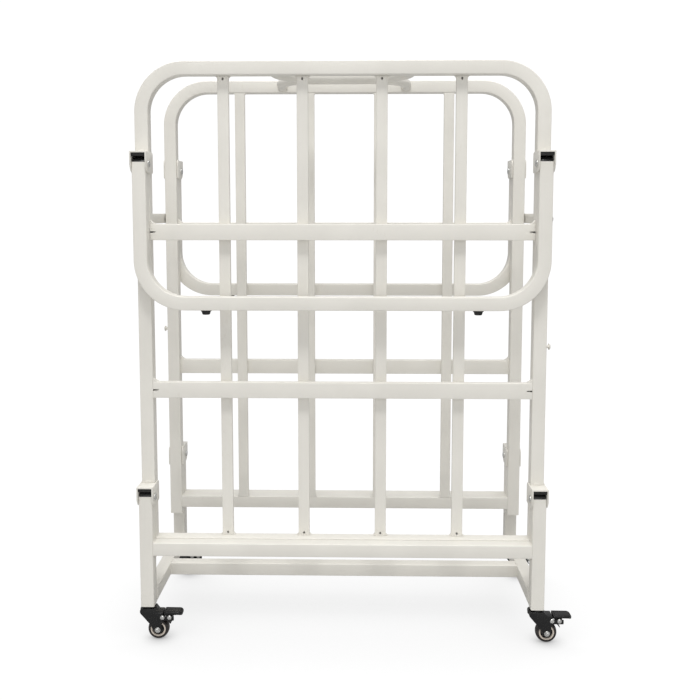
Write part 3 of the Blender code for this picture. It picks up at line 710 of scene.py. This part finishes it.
def make_folding_leg(half):
    body = f"{half}_folding_leg"
    low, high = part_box("front_folding_leg")
    leg = cut(bent_u(high.z, low.z, HINGE_Y), hinge_bore(-1, LEG_FOLD_Z), hinge_bore(1, LEG_FOLD_Z))
    piece(f"{half}_folding_leg", leg, PAINT, body, [f"{half}_folding_leg"], half)
    for side in (-1, 1):
        name = side_name(half, side)
        piece(f"{half}_{name}_folding_leg_plug", plug_bm(side, LEG_FOLD_Z), PLUG, body, (), half)
        foot_low, foot_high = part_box("front_left_foot")
        reach = abs(middle_of("front_left_foot").x - CENTRE_X)
        radius = (foot_high.x - foot_low.x) / 2
        under = low.z - 0.0003
        profile = [(0.0, foot_low.z), (radius * 0.62, foot_low.z), (radius * 0.72, foot_low.z + 0.0008),
                   (radius * 0.86, under - 0.0025), (radius, under - 0.0020), (radius, under - 0.0004),
                   (radius * 0.96, under), (0.004, under), (0.004, foot_high.z), (0.0, foot_high.z)]
        foot = turned(profile, (side * reach, HINGE_Y, 0.0), "Z")
        piece(f"{half}_{name}_foot", foot, RUBBER, body, [f"{half}_{name}_foot"], half)


def domed_stud(inner, shank, radius, start, rise, bore_z, y):
    """A stud along X: a plain shank and a domed head."""
    head = [(radius * math.cos(a), start + 0.0008 + (rise - 0.0008) * math.sin(a)) for a in
            (math.radians(90 * step / 6) for step in range(7))]
    head[-1] = (0.0, start + rise)
    return turned([(0.0, inner), (shank, inner), (shank, start), (radius, start), *head], (0.0, y, bore_z))


def make_latch(half):
    """The flat side latch: rounded ends, and a notch with a flared mouth in its lower edge."""
    node = f"{side_name(half, 1)}_latch"
    low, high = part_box("right_latch")
    tall = (high.z - low.z) / 2
    inner = WIDTH_OUT + 0.0015
    thick = 0.004
    length = -2 * DECK_Y
    end = high.y - DECK_Y
    start = low.y - DECK_Y
    outline = [*arc((start + tall, 0.0), tall, 90, 270, 12), (length - 0.0050, -tall), (length - 0.0035, -tall + 0.0020)]
    outline += [*arc((length, 0.0), 0.0035, 180, 0, 8), (length + 0.0035, -tall + 0.0020), (length + 0.0050, -tall)]
    outline += [*arc((end - 0.006, -tall + 0.006), 0.006, 270, 360, 5), *arc((end - 0.006, tall - 0.006), 0.006, 0, 90, 5)]
    bm = plate(outline, inner, inner + thick)
    round_edges(bm, sharp_edges(bm, 50.0), 0.0004, 2)
    piece(node, shifted(bm, (0.0, DECK_Y, LATCH_Z)), PAINT, node, [node], half)
    outer = high.x - CENTRE_X
    rivet = domed_stud(SIDE_X, 0.003, 0.006, inner + thick - 0.0002, outer - inner - thick + 0.0002, LATCH_Z, DECK_Y)
    washer = turned([(0.0032, WIDTH_OUT + 0.0003), (0.007, WIDTH_OUT + 0.0003), (0.007, inner - 0.0002),
                     (0.0032, inner - 0.0002), (0.0032, WIDTH_OUT + 0.0003)], (0.0, DECK_Y, LATCH_Z))
    piece(f"{node}_rivet", add_in(rivet, washer), ZINC, node, (), half)
    drop = LATCH_Z + 2 * DECK_Y
    stud = domed_stud(SIDE_X + HALF - 0.001, 0.003, 0.006, inner + thick + 0.0003, outer - inner - thick - 0.0003, drop, DECK_Y)
    piece(f"{node}_parking_stud", stud, PAINT, f"{half}_deck", (), half)


WIDTH_OUT = SIDE_X + HALF


# ---------------------------------------------------------------- base

def make_leg(half, side):
    low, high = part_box("front_left_leg")
    name = f"{half}_{side_name(half, side)}_leg"
    x = side * SIDE_X
    leg = cut(bar((x, HINGE_Y, low.z), (x, HINGE_Y, high.z), TUBE, TUBE), hinge_bore(side, FOLD_Z))
    piece(name, leg, PAINT, "base", [name], half)
    piece(f"{name}_plug", plug_bm(side, FOLD_Z), PLUG, "base", (), half)
    inside = HALF - TUBE_WALL - 0.0002
    socket = plate([(HINGE_Y - inside, low.z + 0.0002), (HINGE_Y + inside, low.z + 0.0002),
                    (HINGE_Y + inside, low.z + 0.014), (HINGE_Y - inside, low.z + 0.014)], x - inside, x + inside)
    round_edges(socket, sharp_edges(socket, 60.0), 0.0010, 2)
    bore = turned([(0.0, low.z - TUBE), (0.0044, low.z - TUBE), (0.0044, low.z + TUBE), (0.0, low.z + TUBE)],
                  (x, HINGE_Y, 0.0), "Z", steps=24)
    piece(f"{name}_socket", cut(socket, bore), PLUG, "base", (), half)


def make_leg_crossbar(half):
    node = f"{half}_leg_crossbar"
    z = middle_of("front_leg_crossbar").z
    across = INNER_X - 0.0001
    piece(node, bar((-across, HINGE_Y, z), (across, HINGE_Y, z), TUBE, TUBE), PAINT, "base", [node], half)


def make_brace():
    z = middle_of("base_brace").z
    reach = size_of("base_brace").y / 2
    piece("base_brace_stretcher", bar((-INNER_X, 0.0, z), (INNER_X, 0.0, z), TUBE, TUBE), PAINT, "base", ["base_brace"])
    for side, name in ((-1, "left"), (1, "right")):
        x = side * SIDE_X
        arm = bar((x, -reach, z), (x, reach, z), TUBE, TUBE)
        piece(f"base_brace_{name}_arm", arm, PAINT, "base", ())


def make_base_welds():
    bm = bmesh.new()
    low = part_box("base_brace")[0].z
    reach = size_of("base_brace").y / 2
    rail_z = middle_of("front_leg_crossbar").z
    short = HALF - 0.002
    for side in (-1, 1):
        x = side * SIDE_X
        inner = side * INNER_X
        for end in (-1, 1):
            for z in (low + 0.0008, low + TUBE):
                bead(bm, (x - short, end * reach, z), (x + short, end * reach, z))
            bead(bm, (inner, end * reach, low + 0.003), (inner, end * reach, low + TUBE - 0.002))
            for z in (rail_z - HALF, rail_z + HALF):
                bead(bm, (inner, end * HINGE_Y - short, z), (inner, end * HINGE_Y + short, z))
            bead(bm, (inner, end * HALF, low + 0.002), (inner, end * HALF, low + TUBE - 0.002))
        bead(bm, (inner, -short, low + TUBE), (inner, short, low + TUBE))
    piece("base_welds", bm, PAINTED_WELD, "base", (), smooth=60.0)


# ---------------------------------------------------------------- casters

def fork_outline():
    """The fork's side, from the swivel axis: a raked front, a round axle boss, the brake housing and a flat arm."""
    front = [(0.0130, FORK_TOP), (-0.0115, FORK_TOP), (-0.0138, 0.0600), (-0.0148, 0.0575), (-0.0150, 0.0548),
             (-0.0142, 0.0522), (0.0038, 0.0312)]
    boss = arc((AXLE.x, AXLE.z), 0.0078, 205, 350, 12)
    web = [(0.0263, 0.0290), *arc((0.0325, 0.0325), 0.0060, 175, 95, 6)]
    back = [(FORK_BACK - 0.0010, CHEEK_BOTTOM), (FORK_BACK, CHEEK_BOTTOM + 0.0010), (FORK_BACK, CHEEK_TOP),
            (ARM_END, CHEEK_TOP), (ARM_END, ARM_TOP), (0.0185, ARM_TOP)]
    return [*front, *boss, *web, *back]


def domed_rivet(radius, rise):
    """A domed rivet head with a small dimple, standing on Z = 0."""
    return [(0.0, -0.0006), (radius, -0.0006), (radius, 0.0003), (radius * 0.86, rise * 0.62),
            (radius * 0.58, rise * 0.93), (radius * 0.36, rise), (radius * 0.26, rise * 0.97),
            (radius * 0.18, rise * 0.62), (0.0, rise * 0.55)]


def on_both_cheeks(metal, profile, x, z, out, steps=28):
    """Adds a turned head on the outside of each cheek."""
    for side in (-1, 1):
        head = turned(profile, (0.0, 0.0, 0.0), "Y", steps)
        if side < 0:
            bmesh.ops.rotate(head, cent=(0, 0, 0), matrix=Matrix.Rotation(math.pi, 3, "X"), verts=head.verts)
        add_in(metal, shifted(head, (x, side * out, z)))


def make_fork(corner, place):
    node = f"{corner}_caster_fork"
    half_wide = size_of(node).y / 2
    cheek = half_wide - FORK_SHEET
    bm = plate(fork_outline(), -half_wide, half_wide, "XZ")
    web = ARM_TOP - FORK_SHEET
    bm = cut(bm, plate([(-0.0120, -0.01), (0.060, -0.01), (0.060, web), (-0.0120, web)], -cheek, cheek, "XZ"))
    round_edges(bm, sharp_edges(bm, 50.0), 0.0008, 3)
    shoulder = BASE_LOW - 0.0006
    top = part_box(node)[1].z
    long = -FORK_FRONT
    head = [(0.0, 0.0532), (long - 0.0016, 0.0532), (long, 0.0548), (long, 0.0578), (long - 0.0010, 0.0600),
            (long - 0.0028, FORK_TOP), (0.0128, FORK_TOP), (0.0122, FORK_TOP - 0.0006), (0.0, FORK_TOP - 0.0006)]
    disc = turned(head, axis="Z")
    bmesh.ops.scale(disc, vec=(1.0, half_wide / long, 1.0), verts=disc.verts)
    add_in(bm, disc)
    collar = [(0.0, FORK_TOP - 0.0010), (0.0108, FORK_TOP - 0.0010), (0.0108, FORK_TOP + 0.0010), (0.0120, FORK_TOP + 0.0016),
              (0.0120, shoulder - 0.0006), (0.0114, shoulder), (0.0040, shoulder), (0.0040, top), (0.0, top)]
    add_in(bm, turned(collar, axis="Z"))
    spring = plate([(0.0358, 0.0392), (0.0425, 0.0316), (0.0434, 0.0322), (0.0370, 0.0399)],
                   -cheek - 0.0003, cheek + 0.0003, "XZ")
    add_in(bm, spring)
    piece(node, shifted(bm, place), NYLON, f"{corner}_caster", [node])
    metal = turned([(0.0, -cheek), (0.0027, -cheek), (0.0027, cheek), (0.0, cheek)], AXLE, "Y", 24)
    flange = [(0.0, -0.0005), (0.0053, -0.0005), (0.0053, 0.0006), (0.0046, 0.0012), (0.0, 0.0012)]
    on_both_cheeks(metal, flange, AXLE.x, AXLE.z, half_wide)
    nut = [(0.0, 0.0010), (0.0043, 0.0010), (0.0043, 0.0030), (0.0036, 0.0037), (0.0020, 0.0037), (0.0018, 0.0030), (0.0, 0.0030)]
    on_both_cheeks(metal, nut, AXLE.x, AXLE.z, half_wide, 6)
    for x in (PEDAL_PIN.x - 0.0137, PEDAL_PIN.x):
        on_both_cheeks(metal, domed_rivet(0.0044, 0.0021), x, PEDAL_PIN.z, half_wide)
    piece(f"{corner}_caster_bolts", shifted(metal, place), ZINC, f"{corner}_caster", ())


def make_wheel(corner, place):
    """A tyre bonded to a beige centre, whose dished middle holds a black disc on each face as painted shade for its
    deep recess.
    """
    node = f"{corner}_caster_wheel"
    half_wide = size_of(node).y / 2
    radius = size_of(node).z / 2
    seat = 0.0147
    crown = [(radius - 0.0030 * (1 - math.cos(a)), half_wide * math.sin(a)) for a in
             (math.radians(-76 + 152 * step / 12) for step in range(13))]
    tyre = [(seat, -half_wide), (seat + 0.0016, -half_wide), *crown, (seat + 0.0016, half_wide), (seat, half_wide),
            (seat, -half_wide)]
    axle = place + AXLE
    piece(node, turned(tyre, axle, "Y", 56), TYRE, f"{corner}_wheel", [node])
    rim = [(seat - 0.0002, 0.0), (seat - 0.0002, half_wide - 0.0006), (seat - 0.0008, half_wide), (0.0119, half_wide),
           (0.0113, half_wide - 0.0008), (0.0111, half_wide - 0.0062), (0.0033, half_wide - 0.0064)]
    hub = [*[(r, -h) for r, h in reversed(rim)], *rim[1:], (0.0033, 0.0064 - half_wide)]
    piece(f"{corner}_wheel_hub", turned(hub, axle, "Y", 56), HUB, f"{corner}_wheel", ())
    # painted shade: a black disc fills the hub's dished middle on both faces, standing in for the shadow deep in the
    # recess
    lip = half_wide - 0.0003
    recess_shade_profile = [(0.0033, 0.0034), (0.0109, 0.0034), (0.0109, half_wide - 0.0030), (0.0100, half_wide - 0.0045),
             (0.0072, half_wide - 0.0045), (0.0066, lip), (0.0033, lip), (0.0033, 0.0034)]
    recess_shade_discs = turned(recess_shade_profile, axis="Y", steps=40)
    back = turned([(r, -h) for r, h in reversed(recess_shade_profile)], axis="Y", steps=40)
    piece(f"{corner}_wheel_recess_shade", shifted(add_in(recess_shade_discs, back), axle), PLUG, f"{corner}_wheel", ())


def tread_bm(start, tip, wide):
    """The pedal's flat tread: rounded at its tip and turned down, with a raised border and a raised middle."""
    corner = 0.0062
    outline = [*arc((tip - corner, corner - wide), corner, -90, 0, 8), *arc((tip - corner, wide - corner), corner, 0, 90, 8),
               (start, wide), (start, -wide)]
    bm = bmesh.new()
    face = bm.faces.new([bm.verts.new((x, y, TREAD_BOTTOM)) for x, y in outline])
    pull(bm, [face], (0.0, 0.0, TREAD_TOP - TREAD_BOTTOM))
    close_up(bm)
    round_edges(bm, sharp_edges(bm, 60.0), 0.0012, 4)
    bm.normal_update()
    top = [side for side in bm.faces if side.normal.z > 0.999 and side.calc_center_median().z > TREAD_TOP - 0.0001]
    for thickness, depth in ((0.0012, 0.0), (0.0003, -0.0008), (0.0012, 0.0), (0.0003, 0.0008)):
        bmesh.ops.inset_region(bm, faces=top, thickness=thickness, depth=depth, use_boundary=True, use_even_offset=True)
    for corner_vert in bm.verts:
        past = max(0.0, corner_vert.co.x - (tip - 0.0100)) / 0.0100
        corner_vert.co.z -= 0.0020 * past * past
    return bm


def make_pedal(corner, place):
    """The brake pedal: a tongue on the pin between the fork's cheeks, under a flat tread."""
    node = f"{corner}_brake_pedal"
    low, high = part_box(node)
    bm = tread_bm(PEDAL_START, high.x - CENTRE_X - place.x, (high.y - low.y) / 2)
    inside = size_of(f"{corner}_caster_fork").y / 2 - FORK_SHEET - 0.0003
    tongue = plate([(0.0340, TREAD_BOTTOM + 0.0020), (0.0340, 0.0430), (0.0390, 0.0405), (0.0460, 0.0405),
                    (0.0475, TREAD_BOTTOM + 0.0020)], -inside, inside, "XZ")
    bore = turned([(0.0, -TUBE), (0.0023, -TUBE), (0.0023, TUBE), (0.0, TUBE)], PEDAL_PIN, "Y", 24)
    tongue = cut(tongue, bore)
    round_edges(tongue, sharp_edges(tongue, 60.0), 0.0004, 2)
    piece(node, shifted(add_in(bm, tongue), place), NYLON, f"{corner}_pedal", [node])


# ---------------------------------------------------------------- assembly

def make_half(half):
    make_deck_frame(half)
    for level in ("lower", "upper"):
        make_crossbar(half, level)
    for number in range(1, 5):
        make_slat(half, number)
    make_deck_welds(half)
    make_handle(half)
    for level, z in (("lower", FOLD_Z), ("upper", LEG_FOLD_Z)):
        for side in (-1, 1):
            make_bracket(half, side, level, z)
            make_rivet(half, side, level, z)
    make_folding_leg(half)
    make_latch(half)
    for side in (-1, 1):
        make_leg(half, side)
    make_leg_crossbar(half)


def make_casters():
    for end, y in (("front", HINGE_Y), ("rear", -HINGE_Y)):
        for side, x in (("left", -SIDE_X), ("right", SIDE_X)):
            place = Vector((x, y, 0.0))
            make_fork(f"{end}_{side}", place)
            make_wheel(f"{end}_{side}", place)
            make_pedal(f"{end}_{side}", place)


# ---------------------------------------------------------------- studio

def make_floor():
    """A pale, matt studio floor: it glows to the eye, dimmed as painted shadow where the cot stands close above it, and
    reflects little.
    """
    finish, tree, shader, place = new_finish("matt_studio_floor", 0.95)
    cloud = noise_of(tree, place, 3000.0, 2.0)
    tree.links.new(blend_of(tree, cloud, "BEBEBE", "C4C4C4"), shader.inputs["Base Color"])
    # painted shadow: ambient occlusion dims the floor's glow under the cot broadly, and more beside each wheel
    broad = add_node(tree, "ShaderNodeAmbientOcclusion", {"Distance": SHADE_REACH}, samples=24).outputs["AO"]
    near = add_node(tree, "ShaderNodeAmbientOcclusion", {"Distance": CONTACT_REACH}, samples=24).outputs["AO"]
    soft = span_of(tree, broad, 0.0, 1.0, 0.62, 1.0)
    close = span_of(tree, near, 0.0, 0.9, 0.45, FLOOR_GLOW)
    both = add_node(tree, "ShaderNodeMath", {0: soft, 1: close}, operation="MULTIPLY").outputs["Value"]
    glow = add_node(tree, "ShaderNodeEmission", {"Strength": both})
    seen = add_node(tree, "ShaderNodeLightPath").outputs["Is Camera Ray"]
    mix = add_node(tree, "ShaderNodeMixShader", {0: seen, 1: shader.outputs[0], 2: glow.outputs[0]})
    tree.links.new(mix.outputs[0], tree.nodes["Material Output"].inputs["Surface"])
    bm = bmesh.new()
    bmesh.ops.create_grid(bm, x_segments=2, y_segments=2, size=30.0)
    mesh = bpy.data.meshes.new("studio_floor")
    bm.to_mesh(mesh)
    bm.free()
    mesh.materials.append(finish)
    floor = bpy.data.objects.new("studio_floor", mesh)
    bpy.context.scene.collection.objects.link(floor)
    floor.location = (0.0, 0.0, -FLOOR_GAP)


def make_light(name, place, target, size, power):
    light = bpy.data.lights.new(name, "AREA")
    light.shape = "RECTANGLE"
    light.size = size[0]
    light.size_y = size[1]
    light.energy = power
    lamp = bpy.data.objects.new(name, light)
    bpy.context.scene.collection.objects.link(lamp)
    lamp.location = place
    lamp.rotation_euler = (Vector(target) - Vector(place)).to_track_quat("-Z", "Y").to_euler()
    lamp.visible_camera = False


def make_studio():
    """A compact key light high in front, wide fills in front and above, and a white backdrop."""
    make_floor()
    world = bpy.data.worlds.new("white_studio")
    bpy.context.scene.world = world
    world.use_nodes = True
    tree = world.node_tree
    background = tree.nodes["Background"]
    background.inputs["Color"].default_value = (1.0, 1.0, 1.0, 1.0)
    background.inputs["Strength"].default_value = WORLD_FILL
    backdrop = add_node(tree, "ShaderNodeBackground", {"Color": (1.0, 1.0, 1.0, 1.0), "Strength": 1.05})
    seen = add_node(tree, "ShaderNodeLightPath").outputs["Is Camera Ray"]
    mix = add_node(tree, "ShaderNodeMixShader", {0: seen, 1: background.outputs[0], 2: backdrop.outputs[0]})
    tree.links.new(mix.outputs[0], tree.nodes["World Output"].inputs["Surface"])
    heart = (0.0, 0.0, 0.6)
    make_light("key_softbox", (0.0, -3.2, 6.9), heart, (1.8, 1.2), 195.0)
    make_light("front_softbox", (0.0, -4.6, 1.6), heart, (4.0, 3.0), 36.0)
    make_light("overhead_softbox", (0.0, 0.0, 4.2), heart, (3.0, 3.0), 88.0)
    bpy.context.scene.view_settings.view_transform = "Standard"


FLOOR_GLOW = 1.05
SHADE_REACH = 0.42               # how far above the floor the cot still dims it
CONTACT_REACH = 0.045            # and how far a wheel does
WORLD_FILL = 0.49


def make_camera():
    """A 44 mm lens at standing height in front of the cot, aimed a little down and to its left."""
    data = bpy.data.cameras.new("camera")
    data.lens = 43.62
    data.sensor_width = 36.0
    data.shift_x = 0.0112
    data.shift_y = -0.0886
    camera = bpy.data.objects.new("camera", data)
    bpy.context.scene.collection.objects.link(camera)
    camera.location = MIDDLE + Vector((0.0311, -1.6995, 0.8103))
    yaw = math.radians(-1.122)
    pitch = math.radians(-5.061)
    camera.rotation_euler = (math.pi / 2 + pitch, 0.0, -yaw)
    bpy.context.scene.camera = camera


for half_name in ("front", "rear"):
    make_half(half_name)
make_brace()
make_base_welds()
make_casters()
make_studio()
make_camera()
bpy.context.view_layer.update()
